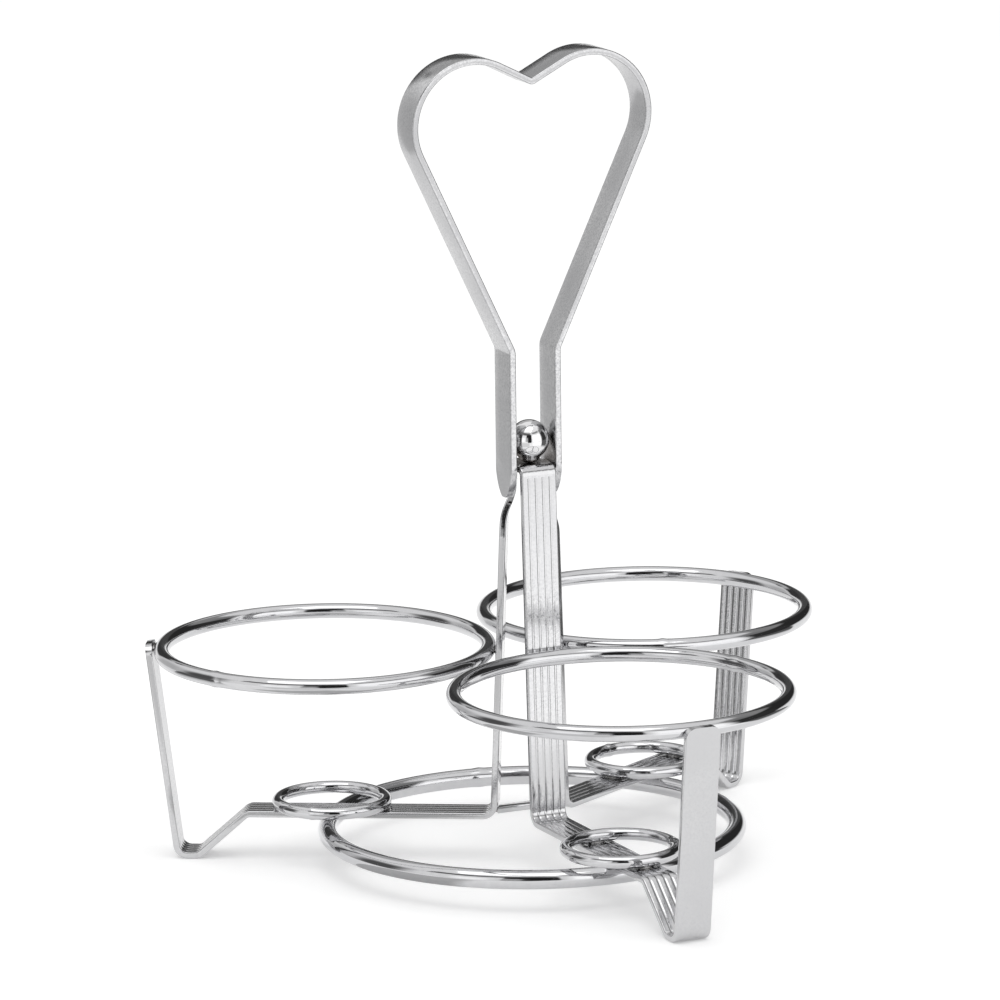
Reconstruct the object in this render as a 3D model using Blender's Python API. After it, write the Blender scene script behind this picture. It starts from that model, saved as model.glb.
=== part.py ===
"""Condiment caddy: a welded rack of bent strip and round wire that carries three jars by their rims.

Three reeded strips stand round one axis. Each goes down from the hub as a column, out along the base
as a run, down to a foot, and up again as an upright. A heart-shaped handle straddles the hub.
"""

import math

import bmesh
import bpy
from mathutils import Vector

MM = 0.001

# Clearance that touching pieces keep, and the distance at which loose cap corners are welded.
GAP = 0.3 * MM
WELD_DISTANCE = 0.002 * MM

# Jar rings: round wire, each welded between a column and an upright.
JAR_RING_WIRE = 4.0 * MM
JAR_RING_INSIDE_DIAMETER = 80.4 * MM
JAR_RING_HEIGHT = 55.4 * MM

# Seat rings: thinner wire on the runs, under the jars' bottoms.
SEAT_RING_WIRE = 3.2 * MM
SEAT_RING_MEAN_RADIUS = 14.0 * MM
SEAT_RING_REACH = 52.0 * MM

# Base ring: the thickest wire, under the runs.
BASE_RING_WIRE = 5.0 * MM
BASE_RING_MEAN_RADIUS = 53.0 * MM

# Reeded strip: flat on one side, rounded reeds with grooves between them on the other.
STRIP_WIDTH = 9.6 * MM
STRIP_THICKNESS = 1.7 * MM
REEDS = 5
REED_PITCH = 2.0 * MM
GROOVE_DEPTH = 0.35 * MM
STRIP_EDGE_CHAMFER = 0.25 * MM

# The strip's route, from the hub to the upright's end.
COLUMN_FACE_AT_RING = 8.6 * MM
COLUMN_SPLAY = math.radians(2.4)
SHOULDER_HEIGHT = 91.5 * MM
HUB_FACE = 4.6 * MM
NECK_RISE = 5.8 * MM
NECK_BEND = 3.0 * MM
RUN_HEIGHT = 12.1 * MM
SLOPE_FALL = math.radians(41.5)
FOOT_FLAT = 1.6 * MM
UPRIGHT_SPLAY = math.radians(6.8)
UPRIGHT_END_HEIGHT = 56.8 * MM
FOOT_BEND_OUTSIDE = 3.9 * MM
COLUMN_BEND_OUTSIDE = 3.9 * MM
SLOPE_BEND_OUTSIDE = 3.2 * MM

# Ends of the strips: the upright's corners, the front tab and the rear tongues.
UPRIGHT_CORNER = 2.8 * MM
TAB_RISE = 7.65 * MM
TAB_LENGTH = 12.0 * MM
TAB_BEND_OUTSIDE = 2.5 * MM
TAB_CORNER = 2.0 * MM
TONGUE_WIDTH = 3.6 * MM
TONGUE_LENGTH = 6.2 * MM
TONGUE_SHOULDER = 4.0 * MM

# Rear tie: a short flat bar between the rear strips' lower bends.
TIE_WIDTH = 3.0 * MM
TIE_FORWARD_EDGE = 5.6 * MM

# Ball on the tab, between the handle's legs.
BALL_DIAMETER = 10.4 * MM
BALL_FORWARD = 0.8 * MM
BALL_LIFT = 0.8 * MM

# Handle: a plain flat strip with its width along Y.
HANDLE_WIDTH = 9.5 * MM
HANDLE_THICKNESS = 1.7 * MM
HANDLE_EDGE_CHAMFER = 0.3 * MM
HANDLE_FORWARD = 0.5 * MM
HANDLE_TIP_DROP = 8.45 * MM
HANDLE_TIP_LENGTH = 8.5 * MM
HANDLE_TIP_FLAT = 2.4 * MM
HANDLE_LEG_LENGTH = 38.5 * MM
HANDLE_WAIST_BEND = 4.0 * MM
HEART_OUTSIDE_WIDTH = 67.2 * MM
HEART_LOBE_RADIUS = 17.2 * MM
HEART_LOBE_RISE = 59.2 * MM
HEART_CROWN_FALL = math.radians(27)
HEART_NOTCH_BEND = 1.0 * MM

# Directions of the three strips round the rack's axis.
FRONT = math.radians(-90)
LEFT_REAR = math.radians(150)
RIGHT_REAR = math.radians(30)
PLACES = {"front": FRONT, "left_rear": LEFT_REAR, "right_rear": RIGHT_REAR}

# Fineness of bends, ends and rings.
BEND_STEP = math.radians(15)
LOBE_STEP = math.radians(8)
END_STEPS = 3
REED_STEPS = 3
JAR_RING_SEGMENTS = (72, 10)
SEAT_RING_SEGMENTS = (44, 8)
BASE_RING_SEGMENTS = (80, 10)
BALL_SEGMENTS = (24, 12)
SHARP_ANGLE = math.radians(40)

# Sizes that follow from the ones above.
JAR_RING_MEAN_RADIUS = (JAR_RING_INSIDE_DIAMETER + JAR_RING_WIRE) / 2
JAR_RING_OUTSIDE_RADIUS = JAR_RING_MEAN_RADIUS + JAR_RING_WIRE / 2
JAR_RING_REACH = COLUMN_FACE_AT_RING + GAP + JAR_RING_OUTSIDE_RADIUS
HALF_STRIP = STRIP_THICKNESS / 2
HANDLE_GAP = BALL_DIAMETER + 2 * GAP
NECK_HEIGHT = SHOULDER_HEIGHT + NECK_RISE
TAB_TOP_HEIGHT = NECK_HEIGHT + TAB_RISE
HANDLE_TIP_HEIGHT = TAB_TOP_HEIGHT - HANDLE_TIP_DROP
HANDLE_WAIST_HEIGHT = HANDLE_TIP_HEIGHT + HANDLE_LEG_LENGTH
HEART_LOBE_HEIGHT = HANDLE_WAIST_HEIGHT + HEART_LOBE_RISE


def arc(centre, start, turn, steps):
    """Points from start along an arc round centre, through the signed angle turn."""
    spoke = start - centre
    points = []
    for step in range(steps + 1):
        angle = turn * step / steps
        cosine = math.cos(angle)
        sine = math.sin(angle)
        turned = Vector((spoke.x * cosine - spoke.y * sine, spoke.x * sine + spoke.y * cosine))
        points.append(centre + turned)
    return points


def bent(corners, bend_step):
    """The path through (point, bend radius) corners, with an arc at each one that has a radius."""
    path = [corners[0][0]]
    for (before, _), (corner, radius), (after, _) in zip(corners, corners[1:], corners[2:]):
        if radius == 0:
            path.append(corner)
            continue
        arriving = (corner - before).normalized()
        leaving = (after - corner).normalized()
        turn = math.atan2(arriving.x * leaving.y - arriving.y * leaving.x, arriving.dot(leaving))
        start = corner - arriving * radius * math.tan(abs(turn) / 2)
        inward = Vector((-arriving.y, arriving.x)) * math.copysign(radius, turn)
        steps = math.ceil(abs(turn) / bend_step)
        path += arc(start + inward, start, turn, steps)
    path.append(corners[-1][0])
    return path


def rounding_distances(length):
    """Distances from an end at which its rounding needs a section."""
    return [length * (1 - math.cos(math.pi / 2 * step / END_STEPS)) for step in range(END_STEPS + 1)]


def sections_before_end(path, distances):
    """Adds sections at those distances from the path's last point."""
    end = path.pop()
    backward = (path[-1] - end).normalized()
    path += [end + backward * distance for distance in sorted(distances, reverse=True)]


def rounded_half_width(full, flat, length):
    """Half-width at a distance from an end that is rounded from full to flat over a length."""
    def half_width(distance):
        rise = math.sqrt(max(0, 1 - (1 - min(distance / length, 1)) ** 2))
        return flat + (full - flat) * rise
    return half_width


def tongue_half_width(distance):
    """Half-width of a rear strip at a distance from its upper end."""
    full = STRIP_WIDTH / 2
    tongue = TONGUE_WIDTH / 2
    rise = (distance - TONGUE_LENGTH) / TONGUE_SHOULDER
    return tongue + (full - tongue) * min(max(rise, 0), 1)


def narrow_end(mesh, path, full, half_width, reach):
    """Scales the width of the sections that lie within reach of the path's last point."""
    end = path[-1]
    outward = (end - path[-2]).normalized()
    for vertex in mesh.vertices:
        behind = end - vertex.co.xy
        distance = behind.dot(outward)
        aside = abs(behind.dot(outward.orthogonal()))
        if -WELD_DISTANCE < distance < reach and aside < reach:
            vertex.co.z *= half_width(max(distance, 0)) / full


def reeded_section():
    """Outline of the reeded strip, with the reeds toward -X and the width along Y."""
    inner_reeds = REEDS - 2
    outer_reed = (STRIP_WIDTH - inner_reeds * REED_PITCH) / 2
    widths = [outer_reed] + [REED_PITCH] * inner_reeds + [outer_reed]
    groove = HALF_STRIP - GROOVE_DEPTH
    half = STRIP_WIDTH / 2
    outline = [(-groove, -half)]
    start = -half
    for width in widths:
        for step in range(1, REED_STEPS + 1):
            share = step / REED_STEPS
            swell = GROOVE_DEPTH * (1 - (2 * share - 1) ** 2) / (1 - (1 / REED_STEPS) ** 2)
            outline.append((-groove - swell, start + width * share))
        start += width
    chamfer = STRIP_EDGE_CHAMFER
    outline += [(HALF_STRIP - chamfer, half), (HALF_STRIP, half - chamfer)]
    outline += [(HALF_STRIP, chamfer - half), (HALF_STRIP - chamfer, -half)]
    return outline


def plain_section(thickness, width, chamfer):
    """Outline of a plain strip with chamfered edges, its width along Y."""
    x = thickness / 2
    y = width / 2
    right = [(x - chamfer, -y), (x, chamfer - y), (x, y - chamfer), (x - chamfer, y)]
    left = [(-a, -b) for a, b in right]
    return right + left


def flat_curve(name, points, closed):
    """A curve object in its own XY plane through the given points."""
    curve = bpy.data.curves.new(name, "CURVE")
    curve.dimensions = "2D"
    spline = curve.splines.new("POLY")
    spline.points.add(len(points) - 1)
    for place, point in zip(spline.points, points):
        place.co = (*point, 0, 1)
    spline.use_cyclic_u = closed
    owner = bpy.data.objects.new(name, curve)
    bpy.context.scene.collection.objects.link(owner)
    return owner


def mesh_from(owner, name):
    """A welded mesh of a curve object, which is removed."""
    bpy.context.view_layer.update()
    evaluated = owner.evaluated_get(bpy.context.evaluated_depsgraph_get())
    mesh = bpy.data.meshes.new_from_object(evaluated)
    mesh.name = name
    curve = owner.data
    bpy.data.objects.remove(owner)
    bpy.data.curves.remove(curve)
    solid = bmesh.new()
    solid.from_mesh(mesh)
    bmesh.ops.remove_doubles(solid, verts=solid.verts, dist=WELD_DISTANCE)
    bmesh.ops.recalc_face_normals(solid, faces=solid.faces)
    solid.to_mesh(mesh)
    solid.free()
    return mesh


def swept(name, path, outline):
    """A mesh of the outline swept along the path, in the path's own plane."""
    section = flat_curve(f"{name}_section", outline, closed=True)
    route = flat_curve(name, path, closed=False)
    route.data.bevel_mode = "OBJECT"
    route.data.bevel_object = section
    route.data.use_fill_caps = True
    mesh = mesh_from(route, name)
    curve = section.data
    bpy.data.objects.remove(section)
    bpy.data.curves.remove(curve)
    return mesh


def chrome(name, colour, roughness):
    """A polished metal."""
    material = bpy.data.materials.new(name)
    material.use_nodes = True
    shader = material.node_tree.nodes["Principled BSDF"]
    shader.inputs["Base Color"].default_value = (*colour, 1)
    shader.inputs["Metallic"].default_value = 1
    shader.inputs["Roughness"].default_value = roughness
    return material


def finish(piece, material, axis, collection):
    """Shades a piece smooth, gives it its material and hangs it on the rack's axis."""
    piece.data.shade_smooth()
    piece.data.set_sharp_from_angle(angle=SHARP_ANGLE)
    piece.data.materials.clear()
    piece.data.materials.append(material)
    piece.parent = axis
    for owner in list(piece.users_collection):
        owner.objects.unlink(piece)
    collection.objects.link(piece)


def piece_of(mesh, name):
    """An object in the scene for a mesh."""
    piece = bpy.data.objects.new(name, mesh)
    bpy.context.scene.collection.objects.link(piece)
    return piece


def column_face(height):
    """Distance of a column's reeded face from the axis at a height."""
    return COLUMN_FACE_AT_RING + (JAR_RING_HEIGHT - height) * math.tan(COLUMN_SPLAY)


def upright_middle(height):
    """Distance of an upright's middle plane from the axis at a height."""
    ring_reach = JAR_RING_REACH + JAR_RING_OUTSIDE_RADIUS + GAP
    middle_at_ring = ring_reach + HALF_STRIP / math.cos(UPRIGHT_SPLAY)
    return middle_at_ring + (height - JAR_RING_HEIGHT) * math.tan(UPRIGHT_SPLAY)


def foot_places():
    """Distances from the axis of the foot's inner corner and of its outer corner.

    A short flat lies on the floor between their two bends.
    """
    bend = FOOT_BEND_OUTSIDE - HALF_STRIP
    outer = upright_middle(HALF_STRIP)
    outer_length = bend * math.tan((math.pi / 2 - UPRIGHT_SPLAY) / 2)
    inner_length = bend * math.tan(SLOPE_FALL / 2)
    return outer - outer_length - FOOT_FLAT - inner_length, outer


def lower_route():
    """Corners of a strip's middle line from the column's foot to the upright's end."""
    inner, outer = foot_places()
    slope_start = inner - (RUN_HEIGHT - HALF_STRIP) / math.tan(SLOPE_FALL)
    return [
        (Vector((column_face(RUN_HEIGHT) - HALF_STRIP, RUN_HEIGHT)), COLUMN_BEND_OUTSIDE - HALF_STRIP),
        (Vector((slope_start, RUN_HEIGHT)), SLOPE_BEND_OUTSIDE - HALF_STRIP),
        (Vector((inner, HALF_STRIP)), FOOT_BEND_OUTSIDE - HALF_STRIP),
        (Vector((outer, HALF_STRIP)), FOOT_BEND_OUTSIDE - HALF_STRIP),
        (Vector((upright_middle(UPRIGHT_END_HEIGHT), UPRIGHT_END_HEIGHT)), 0),
    ]


def leg_mesh(name, hub_corners, hub_distances, hub_half_width, hub_reach):
    """A leg strip, in a plane with the distance from the axis along X and the height along Y."""
    path = bent(hub_corners + lower_route(), BEND_STEP)
    sections_before_end(path, rounding_distances(UPRIGHT_CORNER))
    path.reverse()
    sections_before_end(path, hub_distances)
    path.reverse()
    mesh = swept(name, path, reeded_section())
    full = STRIP_WIDTH / 2
    upright_half_width = rounded_half_width(full, full - UPRIGHT_CORNER, UPRIGHT_CORNER)
    narrow_end(mesh, path, full, upright_half_width, UPRIGHT_CORNER)
    narrow_end(mesh, path[::-1], full, hub_half_width, hub_reach)
    return mesh


def front_leg_mesh():
    """The strip whose column runs straight up and bends over the hub as a tab."""
    tab_height = TAB_TOP_HEIGHT - HALF_STRIP
    tab_face = column_face(tab_height)
    corners = [
        (Vector((tab_face - TAB_LENGTH, tab_height)), 0),
        (Vector((tab_face - HALF_STRIP, tab_height)), TAB_BEND_OUTSIDE - HALF_STRIP),
    ]
    full = STRIP_WIDTH / 2
    half_width = rounded_half_width(full, full - TAB_CORNER, TAB_CORNER)
    return leg_mesh("leg_strip_front", corners, rounding_distances(TAB_CORNER), half_width, TAB_CORNER)


def rear_leg_mesh():
    """The strip whose column bends in to the hub and ends in a narrow tongue under the tab."""
    hub_middle = HUB_FACE - HALF_STRIP
    tongue_top = TAB_TOP_HEIGHT - STRIP_THICKNESS - GAP
    corners = [
        (Vector((hub_middle, tongue_top)), 0),
        (Vector((hub_middle, NECK_HEIGHT)), NECK_BEND),
        (Vector((column_face(SHOULDER_HEIGHT) - HALF_STRIP, SHOULDER_HEIGHT)), NECK_BEND),
    ]
    return leg_mesh("leg_strip_rear", corners, [0], tongue_half_width, TONGUE_LENGTH + TONGUE_SHOULDER)


def heart_route():
    """The handle's middle line, in the XY plane, from the right leg's tip to the left leg's."""
    half = HANDLE_THICKNESS / 2
    leg = HANDLE_GAP / 2 + half
    waist = Vector((leg, HANDLE_WAIST_HEIGHT))
    radius = HEART_LOBE_RADIUS - half
    lobe = Vector((HEART_OUTSIDE_WIDTH / 2 - HEART_LOBE_RADIUS, HEART_LOBE_HEIGHT))
    # The flank and the crown both touch the lobe's circle, and the crown falls straight to the notch.
    to_lobe = lobe - waist
    flank = math.atan2(to_lobe.y, to_lobe.x) - math.asin(radius / to_lobe.length)
    touch = lobe + Vector((math.sin(flank), -math.cos(flank))) * radius
    lobe_turn = math.pi - flank + HEART_CROWN_FALL
    round_lobe = arc(lobe, touch, lobe_turn, math.ceil(lobe_turn / LOBE_STEP))
    crown_start = round_lobe[-1]
    notch_height = crown_start.y - crown_start.x * math.tan(HEART_CROWN_FALL)
    half_route = [(Vector((leg, HANDLE_TIP_HEIGHT)), 0), (waist, HANDLE_WAIST_BEND)]
    half_route += [(point, 0) for point in round_lobe]
    other = [(Vector((-point.x, point.y)), radius) for point, radius in reversed(half_route)]
    notch = [(Vector((0, notch_height)), HEART_NOTCH_BEND)]
    return bent(half_route + notch + other, BEND_STEP)


def handle_mesh():
    """The heart handle, lying in its own XY plane."""
    path = heart_route()
    distances = rounding_distances(HANDLE_TIP_LENGTH)
    sections_before_end(path, distances)
    path.reverse()
    sections_before_end(path, distances)
    mesh = swept("handle", path, plain_section(HANDLE_THICKNESS, HANDLE_WIDTH, HANDLE_EDGE_CHAMFER))
    full = HANDLE_WIDTH / 2
    half_width = rounded_half_width(full, HANDLE_TIP_FLAT / 2, HANDLE_TIP_LENGTH)
    narrow_end(mesh, path, full, half_width, HANDLE_TIP_LENGTH)
    narrow_end(mesh, path[::-1], full, half_width, HANDLE_TIP_LENGTH)
    return mesh


def ring(name, mean_radius, wire, segments, place, height):
    """A closed ring of round wire, lying flat at a place round the axis."""
    bpy.ops.mesh.primitive_torus_add(
        major_radius=mean_radius,
        minor_radius=wire / 2,
        major_segments=segments[0],
        minor_segments=segments[1],
        location=(place.x, place.y, height),
    )
    piece = bpy.context.object
    piece.name = name
    piece.data.name = name
    return piece


def ball(height):
    """The ball on the tab."""
    bpy.ops.mesh.primitive_uv_sphere_add(
        segments=BALL_SEGMENTS[0],
        ring_count=BALL_SEGMENTS[1],
        radius=BALL_DIAMETER / 2,
        location=(0, -BALL_FORWARD, height),
    )
    piece = bpy.context.object
    piece.name = "knob_ball"
    piece.data.name = "knob_ball"
    return piece


def tie():
    """The flat bar behind the axis whose ends face the rear strips' lower bends."""
    inside_face = column_face(RUN_HEIGHT) - STRIP_THICKNESS
    below_centre = COLUMN_BEND_OUTSIDE - STRIP_THICKNESS
    curve_back = COLUMN_BEND_OUTSIDE - math.sqrt(COLUMN_BEND_OUTSIDE ** 2 - below_centre ** 2)
    end_reach = inside_face + curve_back - GAP
    front = TIE_FORWARD_EDGE
    back = TIE_FORWARD_EDGE + TIE_WIDTH
    cosine = math.cos(RIGHT_REAR)
    sine = math.sin(RIGHT_REAR)
    front_half = (end_reach - front * sine) / cosine
    back_half = (end_reach - back * sine) / cosine
    outline = [(-front_half, front), (front_half, front), (back_half, back), (-back_half, back)]
    plate = flat_curve("rear_tie", outline, closed=True)
    plate.data.fill_mode = "BOTH"
    plate.data.extrude = HALF_STRIP
    piece = piece_of(mesh_from(plate, "rear_tie"), "rear_tie")
    piece.location = (0, 0, RUN_HEIGHT)
    return piece


def axis_offset():
    """How far the axis stands behind the middle of the rack's depth."""
    front_reach = upright_middle(UPRIGHT_END_HEIGHT) + HALF_STRIP * math.cos(UPRIGHT_SPLAY)
    back_reach = JAR_RING_REACH * math.sin(RIGHT_REAR) + JAR_RING_OUTSIDE_RADIUS
    return (front_reach - back_reach) / 2


def direction(angle):
    """A unit vector at an angle round the axis."""
    return Vector((math.cos(angle), math.sin(angle)))


def build():
    """Models every piece of the rack."""
    for old in list(bpy.data.objects):
        bpy.data.objects.remove(old)
    rack = bpy.data.collections.new("condiment_caddy")
    bpy.context.scene.collection.children.link(rack)
    axis = bpy.data.objects.new("rack_axis", None)
    axis.location = (0, axis_offset(), 0)
    rack.objects.link(axis)

    strip_metal = chrome("strip_chrome", (0.80, 0.80, 0.81), 0.12)
    wire_metal = chrome("wire_chrome", (0.82, 0.82, 0.83), 0.08)
    handle_metal = chrome("handle_chrome", (0.80, 0.80, 0.81), 0.14)
    ball_metal = chrome("ball_chrome", (0.84, 0.84, 0.85), 0.05)

    rear_mesh = rear_leg_mesh()
    leg_meshes = {"front": front_leg_mesh(), "left_rear": rear_mesh, "right_rear": rear_mesh}
    seat_height = RUN_HEIGHT + HALF_STRIP + GAP + SEAT_RING_WIRE / 2
    for place, angle in PLACES.items():
        leg = piece_of(leg_meshes[place], f"leg_strip_{place}")
        leg.rotation_euler = (math.pi / 2, 0, angle)
        jar_place = direction(angle) * JAR_RING_REACH
        seat_place = direction(angle) * SEAT_RING_REACH
        jar = ring(f"jar_ring_{place}", JAR_RING_MEAN_RADIUS, JAR_RING_WIRE, JAR_RING_SEGMENTS,
                   jar_place, JAR_RING_HEIGHT)
        seat = ring(f"seat_ring_{place}", SEAT_RING_MEAN_RADIUS, SEAT_RING_WIRE, SEAT_RING_SEGMENTS,
                    seat_place, seat_height)
        finish(leg, strip_metal, axis, rack)
        finish(jar, wire_metal, axis, rack)
        finish(seat, wire_metal, axis, rack)

    base_height = RUN_HEIGHT - HALF_STRIP - GAP - BASE_RING_WIRE / 2
    base = ring("base_ring", BASE_RING_MEAN_RADIUS, BASE_RING_WIRE, BASE_RING_SEGMENTS,
                Vector((0, 0)), base_height)
    finish(base, wire_metal, axis, rack)
    finish(tie(), strip_metal, axis, rack)

    handle = piece_of(handle_mesh(), "handle")
    handle.rotation_euler = (math.pi / 2, 0, 0)
    handle.location = (0, -HANDLE_FORWARD, 0)
    finish(handle, handle_metal, axis, rack)
    finish(ball(TAB_TOP_HEIGHT + BALL_LIFT + BALL_DIAMETER / 2), ball_metal, axis, rack)


build()
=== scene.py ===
"""Condiment caddy: the dressed model of a chromed rack bent from reeded strip and round wire.

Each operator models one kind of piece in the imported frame, where the rack's axis stands upright.
"""

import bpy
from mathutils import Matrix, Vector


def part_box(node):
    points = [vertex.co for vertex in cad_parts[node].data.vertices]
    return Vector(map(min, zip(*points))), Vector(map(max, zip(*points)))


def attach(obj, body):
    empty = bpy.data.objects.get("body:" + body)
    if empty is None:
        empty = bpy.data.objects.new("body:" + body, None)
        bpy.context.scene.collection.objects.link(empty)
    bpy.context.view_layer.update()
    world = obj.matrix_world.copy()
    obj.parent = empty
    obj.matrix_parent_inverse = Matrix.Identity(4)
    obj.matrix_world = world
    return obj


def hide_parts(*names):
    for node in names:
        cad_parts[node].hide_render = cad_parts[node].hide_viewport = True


bl_info = {
    "name": "Condiment caddy",
    "version": (1, 0, 0),
    "blender": (4, 5, 0),
    "location": "3D View > Sidebar > Caddy",
    "description": "Models the strips, rings, handle, ball and welds of a condiment caddy",
    "category": "Object",
}

import math

import bmesh
import bpy
from bpy.props import FloatProperty, FloatVectorProperty, IntProperty, PointerProperty
from mathutils import Matrix, Vector, noise

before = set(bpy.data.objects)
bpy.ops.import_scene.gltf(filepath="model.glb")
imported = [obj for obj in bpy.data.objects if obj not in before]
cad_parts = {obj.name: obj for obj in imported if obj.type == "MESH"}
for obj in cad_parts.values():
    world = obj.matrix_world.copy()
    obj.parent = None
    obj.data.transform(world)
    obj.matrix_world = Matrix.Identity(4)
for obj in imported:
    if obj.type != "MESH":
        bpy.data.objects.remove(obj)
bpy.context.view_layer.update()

MM = 0.001
RIGHT = Vector((1, 0, 0))
BACK = Vector((0, 1, 0))
UPRIGHT = Vector((0, 0, 1))
BASE_LOW, BASE_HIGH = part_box("base_ring")
AXIS = Vector((0, (BASE_LOW.y + BASE_HIGH.y) / 2, 0))

# Azimuth of each leg and its jar, in degrees.
PLACES = {"front": -90, "left_rear": 150, "right_rear": 30}

# Where the rings' butt welds lie, in degrees. A seat ring's is counted from its leg.
JAR_SEAMS = {"front": 20, "left_rear": 205, "right_rear": 250}
SEAT_SEAM = 75
BASE_SEAM = 80
SEAM_SPREAD = 0.22  # of the wire's diameter, where a third of the swelling is left

# Vertices within MERGED are one, and those within ON_PLANE lie on a cutting plane.
MERGED = MM * 1e-3
ON_PLANE = MM * 1e-5
SHARP_ANGLE = math.radians(38)

# The most that a bend turns from one section to the next.
STRIP_STEP = math.radians(6)
HANDLE_STEP = math.radians(4)

# An end is swept straight for this many lengths of its rounding before it is cut round. The cuts
# take in a margin more.
STRIP_STUB = 1.2
HANDLE_STUB = 1.05
STUB_MARGIN = 0.01

GROOVE_ROUNDING = 0.46  # part of a groove's shoulder that each of its roundings takes
TAB_BEND_END = 0.98  # just past the tab's bend, in radii from its corner
TONGUE_CUTS = 12
TIE_ROUNDING = 0.25 * MM

# Half-sizes of the weld beads in mm: along the joint, across it and proud of it.
BEADS = {
    "ring": (2.6, 1.15, 0.42),
    "seat": (2.2, 0.9, 0.4),
    "base": (2.8, 1.3, 0.42),
    "tie": (1.3, 0.75, 0.75),
    "tongue": (2.0, 1.1, 0.5),
    "tab": (3.4, 0.9, 0.6),
}
BEAD_LUMPS = 0.16  # how uneven a bead is, as part of its size
LUMPS_ACROSS = 1.7

# Where beads lie: in from the tie's end, behind the axis and under the tab's top.
TIE_BEAD_IN = 0.35 * MM
TONGUE_BEAD_BACK = 2.0 * MM
TONGUE_BEAD_DOWN = 4.6 * MM

# Dull patches in the chrome: how fine they are, in cells a metre, and how much shade they bring.
PATCHES = (38, 0.8)
# The same for the polish marks of a kind, and for all others.
GRAINS = {"handle": (1900, 1), "strip": (1500, 0.9)}
PLAIN_GRAIN = (620, 0.45)
POLISH = (0.6, 1.5)  # least and most roughness of the marks, in parts of the kind's own

# How fine the ripples of a kind are, and how deep, and the same for all others.
RIPPLES = {"weld": (900, 0.1 * MM)}
PLAIN_RIPPLE = (160, 0.02 * MM)
RIPPLE_STRENGTH = 0.35

# How strong the lines along a strip are, how fine and how deep.
DRAWN = {"strip": 0.3, "handle": 0.8}
LINES = (5200, 0.01 * MM)

# Heat tint at the hub, dark enough to paint in the shade where the ball, tab, tongue and legs meet:
# how far behind the axis and how high it lies, and its half-sizes, in mm.
HUB_TINT_AND_SHADE = {
    "strip": (0.9, 104.4, (7.4, 5.1, 4.4)),
    "handle": (-0.6, 107.5, (7.15, 7.5, 9.5)),
    "ball": (-0.8, 105.0, (3.4, 3.4, 2.3)),
    "weld": (0.6, 104.4, (7.4, 6.0, 6.0)),
}
TINT_AND_SHADE_COVER = 0.92  # how much of the colour under it the tint covers
SCORCH_DULLING = 0.22  # roughness that it adds
TINT_AND_SHADE_BLOTCHES = 520

# What the chrome reflects. Each patch has the azimuth of its middle and its half width in degrees,
# its lower and upper edge on the wall in metres, its tone and its soft share.
WALL_PATCHES = (
    (15, 50, 0.7, 2.2, 0.32, 0.45),
    (80, 28, 0.7, 2.1, 0.5, 0.5),
    (24, 38, 0.06, 1.25, 0.03, 0.3),
    (-18, 25, -0.4, 1.3, 0.04, 0.35),
    (62, 14, 0.18, 0.95, 0.08, 0.35),
    (85, 18, 0.18, 0.92, 0.05, 0.4),
    (118, 22, -1.1, 1.1, 0.62, 0.6),
    (97, 5, 0.92, 1.14, 0.1, 0.4),
    (155, 26, -0.6, 1.4, 0.11, 0.65),
    (-149, 13, -0.2, 0.75, 1.35, 0.5),
    (-146, 50, 1.0, 1.8, 0.16, 0.35),
    (-69, 30, -0.6, 1.2, 1.55, 0.3),
    (-69, 34, 1.3, 1.95, 0.3, 0.45),
    (-20, 24, 1.0, 1.8, 0.25, 0.5),
    (-116, 16.5, -0.5, 1.3, 0.02, 0.15),
    (-126.5, 7, -0.15, 0.72, 0.5, 0.45),
)
# The same on the floor, with the nearer and farther edge in metres from the axis.
FLOOR_PATCHES = (
    (105, 48, 0.13, 2.9, 0.92, 0.1),
    (122, 18, 0.35, 2.9, 0.60, 0.08),
    (-137, 26, 0.15, 0.6, 0.74, 0.15),
    (-160, 26, 0.04, 0.13, 0.55, 0.3),
    (155, 19, 0.12, 2.5, 0.12, 0.12),
    (-18, 22, 0.15, 2.5, 0.12, 0.1),
    (-69, 30, 0.7, 2.9, 1.3, 0.05),
    (-69, 30, 0.2, 0.8, 2.9, 0.3),
    (-112, 10, 0.62, 2.9, 0.03, 0.08),
)


def length(name, description, millimetres):
    """A settable length."""
    return FloatProperty(name=name, description=description, default=millimetres * MM, min=0,
                         precision=5, unit="LENGTH")


def angle(name, description, degrees):
    """A settable angle."""
    return FloatProperty(name=name, description=description, default=math.radians(degrees),
                         subtype="ANGLE", unit="ROTATION")


def share(name, description, default):
    """A settable number from 0 to 1."""
    return FloatProperty(name=name, description=description, default=default, min=0, max=1,
                         precision=3, subtype="FACTOR")


def colour(name, description, default):
    """A settable colour."""
    return FloatVectorProperty(name=name, description=description, default=default, min=0, max=1,
                               subtype="COLOR", size=3)


class CaddyRingSizes(bpy.types.PropertyGroup):
    """Wire rings, measured at the middle of the wire."""

    jar_wire: length("Jar ring wire", "Diameter of the jar rings' wire", 4.0)
    jar_radius: length("Jar ring radius", "Middle radius of a jar ring", 42.2)
    jar_height: length("Jar ring height", "Height of the jar rings' middle", 55.4)
    jar_reach: length("Jar ring reach", "From the rack's axis to a jar ring's centre", 53.1)
    seat_wire: length("Seat ring wire", "Diameter of the seat rings' wire", 3.2)
    seat_radius: length("Seat ring radius", "Middle radius of a seat ring", 14.0)
    seat_height: length("Seat ring height", "Height of the seat rings' middle", 14.85)
    seat_reach: length("Seat ring reach", "From the rack's axis to a seat ring's centre", 52.0)
    base_wire: length("Base ring wire", "Diameter of the base ring's wire", 5.0)
    base_radius: length("Base ring radius", "Middle radius of the base ring", 53.0)
    base_height: length("Base ring height", "Height of the base ring's middle", 8.45)
    seam_swell: length("Seam swell", "How far the wire stands proud at its butt weld", 0.2)
    turns: IntProperty(name="Turns", description="Sections round a large ring", default=192, min=24)
    sides: IntProperty(name="Sides", description="Sides of a wire's section", default=28, min=8)


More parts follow.
